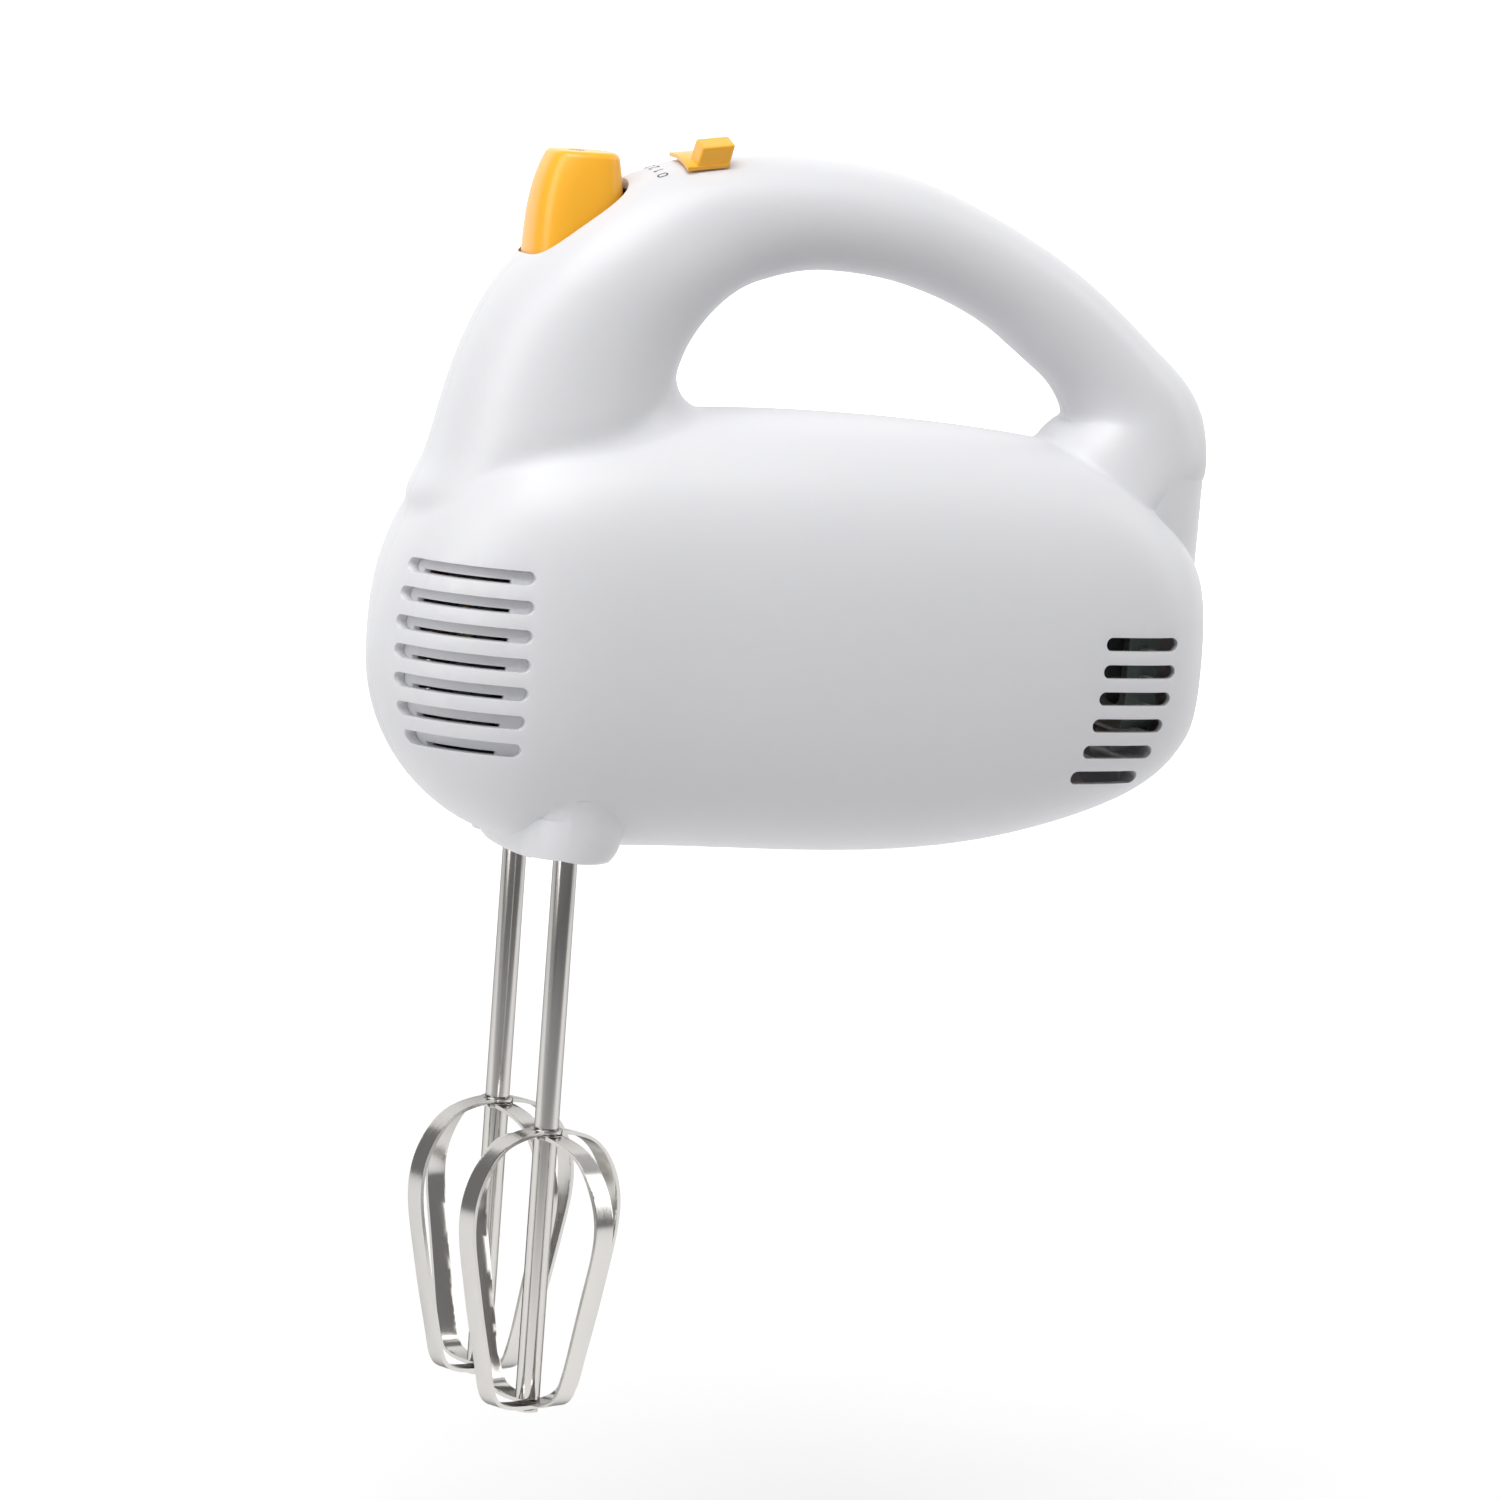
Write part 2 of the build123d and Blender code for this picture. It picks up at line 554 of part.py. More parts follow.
with BuildPart() as commutator:
    rod_x(9, *COMMUTATOR)
    rod_x(10.5, COMMUTATOR[1], COMMUTATOR[1] + 2.5)
    for k in range(2 * SLOTS):
        turn = 180 / SLOTS * k
        mid = at(BRUSH_X, 9 * cos(radians(turn)), MOTOR_Z + 9 * sin(radians(turn)))
        with Locations(Location(mid, (turn, 0, 0))):
            Box(14, 1.2, 0.5, mode=Mode.SUBTRACT)
    rod_x(CORE_R, 60, 90, mode=Mode.SUBTRACT)
pieces["commutator"] = commutator

BOLTS = [(y, z) for y in (-22, 22) for z in (-9, 9)]       # long motor screws, from the motor axis
with BuildPart() as stator_core:
    with BuildSketch(CROSS.offset(STATOR[0])) as lamination:
        with Locations((0, MOTOR_Z)):
            RectangleRounded(STATOR_W, STATOR_H, 12)
            RectangleRounded(38, 42, 2, mode=Mode.SUBTRACT)
            Rectangle(16, 43)
            with Locations((0, 15.6), (0, -15.6)):
                RectangleRounded(27, 6.4, 1)
            Circle(BORE_R, mode=Mode.SUBTRACT)
    extrude(amount=STATOR[1] - STATOR[0])
    for y, z in BOLTS:
        rod_x(1.6, 90, 140, y=y, z=MOTOR_Z + z, mode=Mode.SUBTRACT)
pieces["stator_core"] = stator_core

COIL_END = 8                 # how far the field coils stand out of the laminations
with BuildPart() as field_coils:
    for up in (-1, 1):
        x0, x1 = STATOR[0] - COIL_END, STATOR[1] + COIL_END
        low, high = sorted((MOTOR_Z + up * 19.1, MOTOR_Z + up * 20.8))
        block(x0 + 4, x1 - 4, -17.8, 17.8, low, high)
        low, high = sorted((MOTOR_Z + up * 15, MOTOR_Z + up * 23))
        block(x0, STATOR[0] - 0.3, -17.8, 17.8, low, high)
        block(STATOR[1] + 0.3, x1, -17.8, 17.8, low, high)
        low, high = sorted((MOTOR_Z + up * 10, MOTOR_Z + up * 24))
        block(STATOR[0] - 0.3, STATOR[1] + 0.3, -8.3, 8.3, low, high, mode=Mode.SUBTRACT)
    outer_edges = field_coils.edges().filter_by(Axis.Z)
    fillet(outer_edges.filter_by(lambda e: abs(e.center().Y) > 17 and e.length > 5), 2.4)
pieces["field_coils"] = field_coils

with BuildPart() as motor_screws:
    for y, z in BOLTS:
        rod_x(1.6, BRUSH_PLATE[0], STATOR[1], y=y, z=MOTOR_Z + z)
        rod_x(2.8, STATOR[1], STATOR[1] + 2.2, y=y, z=MOTOR_Z + z)
pieces["motor_screws"] = motor_screws

HOLDER_OUT = 31
with BuildPart() as brush_plate:
    with BuildSketch(CROSS.offset(BRUSH_PLATE[0])) as outline:
        with Locations((0, MOTOR_Z)):
            RectangleRounded(STATOR_W, 34, 8)
            Circle(12, mode=Mode.SUBTRACT)
    extrude(amount=BRUSH_PLATE[1] - BRUSH_PLATE[0])
    for y, z in BOLTS:
        rod_x(2.8, BRUSH_PLATE[0], STATOR[0], y=y, z=MOTOR_Z + z)
        rod_x(1.6, 80, 100, y=y, z=MOTOR_Z + z, mode=Mode.SUBTRACT)
    for side in SIDES.values():
        y0, y1 = sorted((side * 14, side * 25))
        block(BRUSH_X - 4.5, BRUSH_PLATE[0], y0, y1, MOTOR_Z - 6.4, MOTOR_Z - 4)
pieces["brush_plate"] = brush_plate

with BuildPart() as brush_holders:
    for side in SIDES.values():
        y0, y1 = sorted((side * 12, side * HOLDER_OUT))
        block(BRUSH_X - 4.5, BRUSH_X + 4.5, y0, y1, MOTOR_Z - 4, MOTOR_Z + 4)
        y0, y1 = sorted((side * 11, side * (HOLDER_OUT - 1)))
        block(BRUSH_X - 3.1, BRUSH_X + 3.1, y0, y1, MOTOR_Z - 2.6, MOTOR_Z + 2.6, mode=Mode.SUBTRACT)
pieces["brush_holders"] = brush_holders

with BuildPart() as carbon_brushes:
    for side in SIDES.values():
        y0, y1 = sorted((side * 6, side * 23))
        block(BRUSH_X - 3, BRUSH_X + 3, y0, y1, MOTOR_Z - 2.5, MOTOR_Z + 2.5)
    rod_x(9 + RUN, 60, 85, mode=Mode.SUBTRACT)
pieces["carbon_brushes"] = carbon_brushes

with BuildPart() as brush_springs:
    for side in SIDES.values():
        with BuildLine() as coil:
            Helix(1.3, 6.2, 1.8, center=at(BRUSH_X, side * 23.4, MOTOR_Z), direction=(0, side, 0))
        with BuildSketch(Plane(origin=coil.line @ 0, z_dir=coil.line % 0)):
            Circle(0.3)
        sweep(path=coil.line, is_frenet=True)
pieces["brush_springs"] = brush_springs

with BuildPart() as rear_bracket:
    with BuildSketch(CROSS.offset(BRACKET[0])) as outline:
        with Locations((0, MOTOR_Z)):
            RectangleRounded(48, 36, 6)
            with Locations((-15, 0), (15, 0)):
                RectangleRounded(10, 24, 3, mode=Mode.SUBTRACT)
            Circle(7, mode=Mode.SUBTRACT)
    extrude(amount=BRACKET[1] - BRACKET[0])
pieces["rear_bracket"] = rear_bracket


# ---------------------------------------------------------------- speed switch
def track_block(x0, x1, half_y, z0, z1, mode=Mode.ADD):
    """Square block laid along the slider's track."""
    with Locations(TRACK.location * Pos((x0 + x1) / 2, 0, (z0 + z1) / 2)):
        Box(x1 - x0, 2 * half_y, z1 - z0, mode=mode)


REST = -SLIDER_SWING / 2     # at "0" the slider stands to the left of the ridge
radial_dir = SWING_AXIS.x_dir * sin(radians(REST)) + SWING_AXIS.y_dir * cos(radians(REST))
KNOB = Plane(origin=SWING_AXIS.origin, x_dir=TRACK.x_dir, z_dir=TRACK.x_dir.cross(radial_dir))
KNOB_T = 5.6                 # thickness of the finger knob
CARRIAGE_R = 23.8            # outside of the carriage, under the ridge's wall
with BuildPart() as speed_slider:
    with BuildSketch(KNOB.offset(-KNOB_T / 2)):
        Polygon((-6.5, 28.9), (2, 28.9), (3.4, 34.2), (-5, 34.2), align=None)
    extrude(amount=KNOB_T)
    fillet(speed_slider.edges(), 0.5)
    arc_block(-8.7, 2, 28.5, 29.5, REST - 5.8, REST + 24)
    with Locations(KNOB.location * Pos(0, (CARRIAGE_R + 0.05 + 28.8) / 2, 0)):
        Box(3.4, 28.8 - CARRIAGE_R - 0.05, 1.6)
pieces["speed_slider"] = speed_slider

with BuildPart() as slider_carriage:
    arc_block(-7, 7, CARRIAGE_R - 1, CARRIAGE_R, REST - 12, REST + 12)
    arc_block(-4, 4, 22.3, 22.9, REST - 4, REST + 4)
pieces["slider_carriage"] = slider_carriage

with BuildPart() as switch_block:
    track_block(-12, 24, 7.5, -17, -7.4)
    for x in (-6, 2, 10):
        track_block(x, x + 4, 6, -9, -7.4, mode=Mode.SUBTRACT)
pieces["switch_block"] = switch_block

with BuildPart() as switch_contacts:
    for x in (-6, 2, 10):
        track_block(x + 0.2, x + 3.8, 5.8, -8.9, -6.9)
pieces["switch_contacts"] = switch_contacts

WIRE_R = 0.9
ROUTES = [
    [(142.5, 1.5, 85), (138, 4, 96), (138, 4, 114), (119, 3, 141), (97, 7, 158), (74, 6, 161), (58, 4, 162)],
    [(142.5, -1.5, 85), (138, -4, 96), (138, -4, 114), (119, -3, 141), (97, -7, 158), (74, -6, 161), (58, -4, 162)],
    [(16, 5, 154), (14, 11, 142), (12, 13, 118), (13, 14, 99), (32, 17, 90), (58, 24, 82), (73, 27, 59)],
    [(16, -5, 154), (14, -11, 142), (12, -13, 118), (13, -14, 99), (32, -17, 90), (58, -24, 82), (73, -27, 59)],
    [(142.5, -0.5, 86.5), (139.5, -12, 90), (139, -22, 76), (138.5, -20, 66), (137, -15, 76)],
]
with BuildPart() as lead_wires:
    for route in ROUTES:
        with BuildLine() as path:
            Spline(*[at(*point) for point in route])
        with BuildSketch(Plane(origin=path.line @ 0, z_dir=path.line % 0)):
            Circle(WIRE_R)
        sweep(path=path.line)
pieces["lead_wires"] = lead_wires


# ---------------------------------------------------------------- beaters
def loop_outline(top, bottom, inset):
    """The closed outline of a strip's loop on the XY plane, moved inwards by inset."""
    near = [(8, top - 0.9 - inset), (14.2, top - 3.2 - 0.95 * inset),
            (20.2 - 0.75 * inset, top - 9.2 - 0.66 * inset), (BEATER_R - inset, -85),
            (21.8 - inset, -101), (18.4 - inset, -115), (15 - inset, -127.5),
            (12.2 - 0.7 * inset, bottom + 2.2 + 0.7 * inset), (6.5, bottom + 0.2 + inset)]
    far = [(-x, z) for x, z in reversed(near)]
    with BuildSketch() as outline:
        with BuildLine():
            Spline((0, top - inset), *near, (0, bottom + inset), *far, periodic=True)
        make_face()
    return outline.sketch


def strip(axis_y, turn, drop):
    """One closed strip loop on a beater, drop being its step inside the outer one."""
    top, bottom = HUB_Z - drop, TIP_Z + drop
    radial = Plane(origin=at(0, axis_y, 0), x_dir=(cos(radians(turn)), sin(radians(turn)), 0),
                   z_dir=(sin(radians(turn)), -cos(radians(turn)), 0))
    whole, inner = loop_outline(top, bottom, 0), loop_outline(top, bottom, STRIP_T)
    with BuildPart() as loop:
        with BuildSketch(radial.offset(-STRIP_W / 2)):
            add(whole)
            add(inner, mode=Mode.SUBTRACT)
        extrude(amount=STRIP_W)
        rod_z(HUB_R, top - STRIP_T, top, y=axis_y)
        rod_z(SHAFT_R, -100, 0, y=axis_y, mode=Mode.SUBTRACT)
        rod_z(RIVET_R, -150, -100, y=axis_y, mode=Mode.SUBTRACT)
    return loop


LUG_Z = (4.5, 9.5)
CROSS_STEP = STRIP_T + 0.35  # one strip passes under the other at the hub and at the foot
for name, side in SIDES.items():
    axis_y = side * SPACING / 2
    pieces["beater_outer_strip_" + name] = strip(axis_y, BEATER_TURN[name], 0)
    pieces["beater_inner_strip_" + name] = strip(axis_y, BEATER_TURN[name] + 90, CROSS_STEP)
    foot_z = TIP_Z + CROSS_STEP + STRIP_T
    with BuildPart() as beater_shaft:
        rod_z(SHAFT_R, foot_z, BEATER_TOP, y=axis_y)
        block(-4.4, 4.4, axis_y - 0.65, axis_y + 0.65, *LUG_Z)
        rod_z(RIVET_R, TIP_Z - 0.9, foot_z, y=axis_y)
        rod_z(2.7, TIP_Z - 0.9, TIP_Z - 0.05, y=axis_y)
    pieces["beater_shaft_" + name] = beater_shaft

# ---------------------------------------------------------------- write the pieces
os.makedirs("parts", exist_ok=True)
for name, piece in pieces.items():
    piece.part.label = name
    export_step(piece.part, "parts/" + name + ".step")
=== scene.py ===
import json
from math import cos, radians, sin

import bpy
from mathutils import Matrix, Vector
from mathutils.bvhtree import BVHTree


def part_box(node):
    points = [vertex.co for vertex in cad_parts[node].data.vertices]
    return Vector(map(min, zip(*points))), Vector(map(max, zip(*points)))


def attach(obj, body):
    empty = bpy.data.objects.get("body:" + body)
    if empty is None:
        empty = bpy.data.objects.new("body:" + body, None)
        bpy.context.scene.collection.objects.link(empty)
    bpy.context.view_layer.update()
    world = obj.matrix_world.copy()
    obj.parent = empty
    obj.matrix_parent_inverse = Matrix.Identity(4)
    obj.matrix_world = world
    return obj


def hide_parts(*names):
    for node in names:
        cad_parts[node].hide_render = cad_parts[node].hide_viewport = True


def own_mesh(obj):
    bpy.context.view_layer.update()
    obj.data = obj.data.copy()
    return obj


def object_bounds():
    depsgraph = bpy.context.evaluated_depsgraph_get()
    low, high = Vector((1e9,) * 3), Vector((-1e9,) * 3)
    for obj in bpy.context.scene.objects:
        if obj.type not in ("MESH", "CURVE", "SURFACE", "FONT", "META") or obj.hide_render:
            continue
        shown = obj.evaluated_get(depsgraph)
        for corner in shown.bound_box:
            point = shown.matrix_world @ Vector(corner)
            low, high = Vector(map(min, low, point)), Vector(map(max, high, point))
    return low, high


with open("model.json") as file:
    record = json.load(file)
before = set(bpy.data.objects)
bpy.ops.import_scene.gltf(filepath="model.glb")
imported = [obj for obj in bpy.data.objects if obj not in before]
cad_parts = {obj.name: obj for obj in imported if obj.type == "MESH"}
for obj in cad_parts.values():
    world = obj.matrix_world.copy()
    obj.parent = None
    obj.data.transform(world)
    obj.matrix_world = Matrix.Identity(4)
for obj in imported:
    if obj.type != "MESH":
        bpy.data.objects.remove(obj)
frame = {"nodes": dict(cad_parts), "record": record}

frame_box = [list(corner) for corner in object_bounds()]
joints = {joint["name"]: joint for joint in frame["record"]["behaviour"]["joints"]}
mounts = {mount["name"]: mount for mount in frame["record"]["mounts"]}

# ---------------------------------------------------------------- camera, in metres
DRIVE = Vector((-0.070, 0.0, -0.158))          # midway between the beater ports, in the row frame
AZIMUTH, ELEVATION, ROLL = radians(-18.5), radians(7.3), radians(4.2)
DISTANCE = 2.0                                 # from the camera to the drive datum, along the view
DRIVE_RIGHT, DRIVE_UP = -0.0515, -0.0235       # where the drive datum stands in the picture plane
LENS, SENSOR = 195.4, 36.0                     # millimetres
CLIP_END = 50

# ---------------------------------------------------------------- stage, in metres and watts
WORLD_LIGHT = 0.22
FLOOR_DROP = 0.055                             # the mixer is held up, with room to push the beaters out
FLOOR_NEAR, FLOOR_FAR, HALF_FLOOR = -4.0, 2.2, 6
COVE_RADIUS, COVE_STEPS = 1.4, 24              # the curve from the floor up to the wall
WALL_TOP = 5.0
PAPER_FADE = (-0.55, -0.08)                    # in front of the mixer the paper is darker, which cuts the light bounced onto the mixer's underside, and has no painted glow
PAPER_DARK, PAPER_PALE, NEAR_GLOW = 0.25, 0.7, 0.24
WALL_FADE, FAR_GLOW = (0.3, 2.2), 0.7          # and behind it the painted glow grows towards the wall, so the backdrop reads white
LIGHT_AIM = (0.0, 0.0, -0.09)
LIGHTS = {                                     # place, size, power
    "key_above": ((-0.45, -0.75, 1.35), (1.4, 1.2), 28),
    "front_left": ((-1.6, -0.5, 0.5), (1.0, 1.4), 12),
    "heel_fill": ((1.5, -0.25, 0.6), (0.8, 1.4), 8),
}

# ---------------------------------------------------------------- CAD nodes, in metres
WELD_REACH = 1e-6
EDGE_WIDTH = 0.00015
OUTSIDE_EDGES = {"housing_left": 0.0005, "housing_right": 0.0005,
                 "eject_button": 0.0004, "speed_slider": 0.0004}
EDGE_SEGMENTS, EDGE_ANGLE = 3, radians(38)

# ---------------------------------------------------------------- printed marks, in metres
INK = 0.00003                                  # how far the ink stands off the plastic
DIGIT_HEIGHT, LINE_WIDTH = 0.0023, 0.00038
DIGIT_RADIUS, DIGIT_AHEAD = 0.030, 0.0130      # from the slider's axis, and ahead of its middle
ICON = 0.0021                                  # half the eject sign's width
CAST_HEIGHT = 0.004                            # the drawings drop on the plastic from here
STROKE_CUT, STROKE_LAP = 0.0004, 0.2           # a piece's length, and its overlap in line widths

# ---------------------------------------------------------------- skin on the heel, in metres
HEEL_TOP = Vector((0.07275, 0.02175, 0.0215))  # middle x, half length, half width of the leg's outline
HEEL_FOOT = Vector((0.0680, 0.02575, 0.0240))  # and the same at the skin's lower edge
HEEL_SPAN = (0.0135, -0.0100)                  # from above the cord inlet to below it
HEEL_SLOPE = 0.069                             # the top edge rises away from the heel
HEEL_POWER = 0.87                              # under 1, an outline fuller than an ellipse
HEEL_WALL = 0.0024
HEEL_REACH = radians(86)                       # how far the outline goes round to each side
HEEL_CUTS, HEEL_LEVELS, HEEL_SMOOTH = 96, 24, radians(35)
INLET_HOLE, INLET_DEPTH, INLET_FACETS = 0.0056, 0.03, 64

# ---------------------------------------------------------------- materials
COAT_ROUGHNESS, SCATTER_DEPTH = 0.12, 0.004    # the depth in metres
FINE_DETAIL, BROAD_DETAIL = 4.0, 2.0
BROAD_SCALE = 35.0                             # patches of tone about 30 mm across
RELIEF_DEPTH = 0.0002                          # metres
SMOOTHEST = 0.02


def shader(name, color, roughness, metal=0.0, coat=0.0, rim=1.0, subsurface=0.0,
           grain=(900, 900, 900), spread=0.06, bump=0.02, mottling=0.04):
    """A Principled material whose roughness, tone and surface relief come from noise."""
    made = bpy.data.materials.new(name)
    made.use_nodes = True
    nodes, links = made.node_tree.nodes, made.node_tree.links
    skin = nodes["Principled BSDF"]
    skin.inputs["Metallic"].default_value = metal
    skin.inputs["Specular Tint"].default_value = (rim, rim, rim, 1)
    skin.inputs["Coat Weight"].default_value = coat
    skin.inputs["Coat Roughness"].default_value = COAT_ROUGHNESS
    skin.inputs["Subsurface Weight"].default_value = subsurface
    skin.inputs["Subsurface Scale"].default_value = SCATTER_DEPTH
    place = nodes.new("ShaderNodeTexCoord")
    stretch = nodes.new("ShaderNodeMapping")
    stretch.inputs["Scale"].default_value = grain
    fine = nodes.new("ShaderNodeTexNoise")
    fine.inputs["Scale"].default_value = 1.0
    fine.inputs["Detail"].default_value = FINE_DETAIL
    broad = nodes.new("ShaderNodeTexNoise")
    broad.inputs["Scale"].default_value = BROAD_SCALE
    broad.inputs["Detail"].default_value = BROAD_DETAIL
    links.new(place.outputs["Object"], stretch.inputs["Vector"])
    links.new(stretch.outputs["Vector"], fine.inputs["Vector"])
    links.new(place.outputs["Object"], broad.inputs["Vector"])
    rough = nodes.new("ShaderNodeMapRange")
    rough.inputs["To Min"].default_value = max(roughness - spread, SMOOTHEST)
    rough.inputs["To Max"].default_value = roughness + spread
    links.new(fine.outputs["Fac"], rough.inputs["Value"])
    links.new(rough.outputs["Result"], skin.inputs["Roughness"])
    tone = nodes.new("ShaderNodeMix")
    tone.data_type = "RGBA"
    tone.inputs["A"].default_value = [c * (1 - mottling) for c in color] + [1]
    tone.inputs["B"].default_value = [min(c * (1 + mottling), 1) for c in color] + [1]
    links.new(broad.outputs["Fac"], tone.inputs["Factor"])
    links.new(tone.outputs["Result"], skin.inputs["Base Color"])
    relief = nodes.new("ShaderNodeBump")
    relief.inputs["Strength"].default_value = bump
    relief.inputs["Distance"].default_value = RELIEF_DEPTH
    links.new(fine.outputs["Fac"], relief.inputs["Height"])
    links.new(relief.outputs["Normal"], skin.inputs["Normal"])
    return made


FINISHES = {
    "white_shell": dict(color=(0.66, 0.66, 0.68), roughness=0.40, bump=0.05, spread=0.04,
                        mottling=0.006, subsurface=0.03),
    "yellow_plastic": dict(color=(0.90, 0.43, 0.025), roughness=0.34, coat=0.15, bump=0.05,
                           spread=0.05, mottling=0.03, subsurface=0.05),
    "polished_steel": dict(color=(0.64, 0.625, 0.60), roughness=0.16, metal=1.0, rim=0.35,
                           grain=(700, 700, 25), bump=0.06, spread=0.05),
    "steel": dict(color=(0.55, 0.55, 0.56), roughness=0.3, metal=1.0, grain=(500, 500, 90), bump=0.1),
    "bronze": dict(color=(0.50, 0.30, 0.13), roughness=0.45, metal=1.0, bump=0.3, mottling=0.15),
    "laminations": dict(color=(0.30, 0.31, 0.33), roughness=0.5, metal=1.0, grain=(2000, 8, 8), bump=0.6),
    "copper": dict(color=(0.50, 0.17, 0.06), roughness=0.35, metal=0.8, grain=(40, 1500, 1500), bump=0.9,
                   coat=0.3),
    "brass": dict(color=(0.66, 0.47, 0.18), roughness=0.3, metal=1.0, bump=0.1),
    "carbon": dict(color=(0.03, 0.03, 0.032), roughness=0.7, bump=0.3),
    "nylon": dict(color=(0.74, 0.70, 0.60), roughness=0.45, bump=0.08, subsurface=0.1),
    "grey_plastic": dict(color=(0.22, 0.27, 0.25), roughness=0.5, bump=0.1),
    "black_plastic": dict(color=(0.02, 0.02, 0.022), roughness=0.4, bump=0.1),
    "black_rubber": dict(color=(0.02, 0.02, 0.02), roughness=0.7, bump=0.3),
    "wire_cover": dict(color=(0.10, 0.035, 0.02), roughness=0.45, bump=0.1, mottling=0.2),
    "print_ink": dict(color=(0.035, 0.035, 0.04), roughness=0.6, bump=0.1),
}
materials = {name: shader(name, **look) for name, look in FINISHES.items()}


def add_mesh(name, points, faces, material):
    """A new mesh object in the scene."""
    mesh = bpy.data.meshes.new(name)
    mesh.from_pydata(points, [], faces)
    mesh.materials.append(material)
    made = bpy.data.objects.new(name, mesh)
    bpy.context.collection.objects.link(made)
    return made


def shade_smooth(mesh):
    """Smooth shading on every face."""
    mesh.polygons.foreach_set("use_smooth", [True] * len(mesh.polygons))


# ---------------------------------------------------------------- CAD nodes: finish and soft edges
slots = {part["node"]: part["material_slot"] for part in frame["record"]["subparts"]}
for name, node in frame["nodes"].items():
    node.data.materials.clear()
    node.data.materials.append(materials[slots[name]])
    weld = node.modifiers.new("weld", "WELD")
    weld.merge_threshold = WELD_REACH
    soften = node.modifiers.new("edges", "BEVEL")
    soften.width = OUTSIDE_EDGES.get(name, EDGE_WIDTH)
    soften.segments = EDGE_SEGMENTS
    soften.limit_method = "ANGLE"
    soften.angle_limit = EDGE_ANGLE

# ---------------------------------------------------------------- eject spring, as a copy fixed to the housing
spring = frame["nodes"]["eject_spring"]
coil = bpy.data.objects.new("eject_spring_coil", spring.data.copy())
coil.matrix_world = spring.matrix_world.copy()
bpy.context.collection.objects.link(coil)
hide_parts("eject_spring")
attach(coil, "housing")
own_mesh(coil)

# ---------------------------------------------------------------- skin between the rear leg and the heel
inlet_z = mounts["cord_inlet"]["pos_m"][2]
heel_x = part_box("housing_left")[1][0]


def heel_ring(share, inset):
    """Half of the leg's outline round the heel, at a share of the way down the skin."""
    middle, half_length, half_width = HEEL_TOP.lerp(HEEL_FOOT, share)
    height = inlet_z + HEEL_SPAN[0] + (HEEL_SPAN[1] - HEEL_SPAN[0]) * share
    ring = []
    for cut in range(HEEL_CUTS + 1):
        turn = HEEL_REACH * (2 * cut / HEEL_CUTS - 1)
        wide = abs(sin(turn)) ** HEEL_POWER * (1 if turn > 0 else -1)
        x = min(middle + (half_length - inset) * cos(turn) ** HEEL_POWER, heel_x - inset)
        lift = (heel_x - x) * HEEL_SLOPE * (1 - share)
        ring.append((x, (half_width - inset) * wide, height + lift))
    return ring


row = HEEL_CUTS + 1
inner = row * (HEEL_LEVELS + 1)                # where the inner wall's points start
points = [point for inset in (0, HEEL_WALL) for level in range(HEEL_LEVELS + 1)
          for point in heel_ring(level / HEEL_LEVELS, inset)]
faces = []
for level in range(HEEL_LEVELS):
    for cut in range(HEEL_CUTS):
        a = level * row + cut
        faces.append((a, a + row, a + row + 1, a + 1))
        faces.append((inner + a, inner + a + 1, inner + a + row + 1, inner + a + row))
    for a in (level * row, level * row + HEEL_CUTS):
        end = (a, inner + a, inner + a + row, a + row)
        faces.append(end if a % row == 0 else end[::-1])
for top in range(HEEL_CUTS):
    foot = HEEL_LEVELS * row + top
    faces.append((top, top + 1, inner + top + 1, inner + top))
    faces.append((foot, inner + foot, inner + foot + 1, foot + 1))
heel_skin = add_mesh("heel_skin", points, faces, materials["white_shell"])
bpy.ops.mesh.primitive_cylinder_add(vertices=INLET_FACETS, radius=INLET_HOLE, depth=INLET_DEPTH,
                                    location=(heel_x, 0, inlet_z), rotation=(0, radians(90), 0))
cutter = bpy.context.object
hole = heel_skin.modifiers.new("hole", "BOOLEAN")
hole.operation = "DIFFERENCE"
hole.object = cutter
hole.solver = "EXACT"
ready = heel_skin.evaluated_get(bpy.context.evaluated_depsgraph_get())
heel_skin.data = bpy.data.meshes.new_from_object(ready)
heel_skin.modifiers.clear()
bpy.data.objects.remove(cutter)
shade_smooth(heel_skin.data)
heel_skin.data.set_sharp_from_angle(angle=HEEL_SMOOTH)
heel_skin.data.materials.clear()
heel_skin.data.materials.append(materials["white_shell"])
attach(heel_skin, "housing")


# ---------------------------------------------------------------- printed marks
def chain(*corners):
    """Segments joining corners in turn."""
    return list(zip(corners, corners[1:]))


def strokes(lines):
    """Flat quads along the segments of a line drawing."""
    points, faces = [], []
    for (x0, y0), (x1, y1) in lines:
        run = Vector((x1 - x0, y1 - y0))
        step = run.normalized()
        aside = Vector((-step.y, step.x)) * LINE_WIDTH / 2
        cuts = max(int(run.length / STROKE_CUT), 1)
        for k in range(cuts):
            start = Vector((x0, y0)) + run * (k / cuts) - step * (LINE_WIDTH * STROKE_LAP)
            end = Vector((x0, y0)) + run * ((k + 1) / cuts) + step * (LINE_WIDTH * STROKE_LAP)
            base = len(points)
            points += [tuple(start - aside), tuple(end - aside), tuple(end + aside), tuple(start + aside)]
            faces.append((base, base + 1, base + 2, base + 3))
    return points, faces


def mesh_under(name):
    """A ray-casting tree of a CAD node, in world space."""
    mesh = frame["nodes"][name].data
    place = frame["nodes"][name].matrix_world
    points = [place @ vertex.co for vertex in mesh.vertices]
    return BVHTree.FromPolygons(points, [list(face.vertices) for face in mesh.polygons])


def print_flat(name, lines, origin, across, along, trees):
    """Lay a line drawing on the nearest surface below it, along the normal of its plane."""
    normal = across.cross(along).normalized()
    points, faces = strokes(lines)
    laid = []
    for u, v in points:
        start = origin + across * u + along * v + normal * CAST_HEIGHT
        casts = [tree.ray_cast(start, -normal) for tree in trees]
        nearest = min((cast for cast in casts if cast[0] is not None), key=lambda cast: cast[3])
        laid.append(nearest[0] + normal * INK)
    return add_mesh(name, laid, faces, materials["print_ink"])


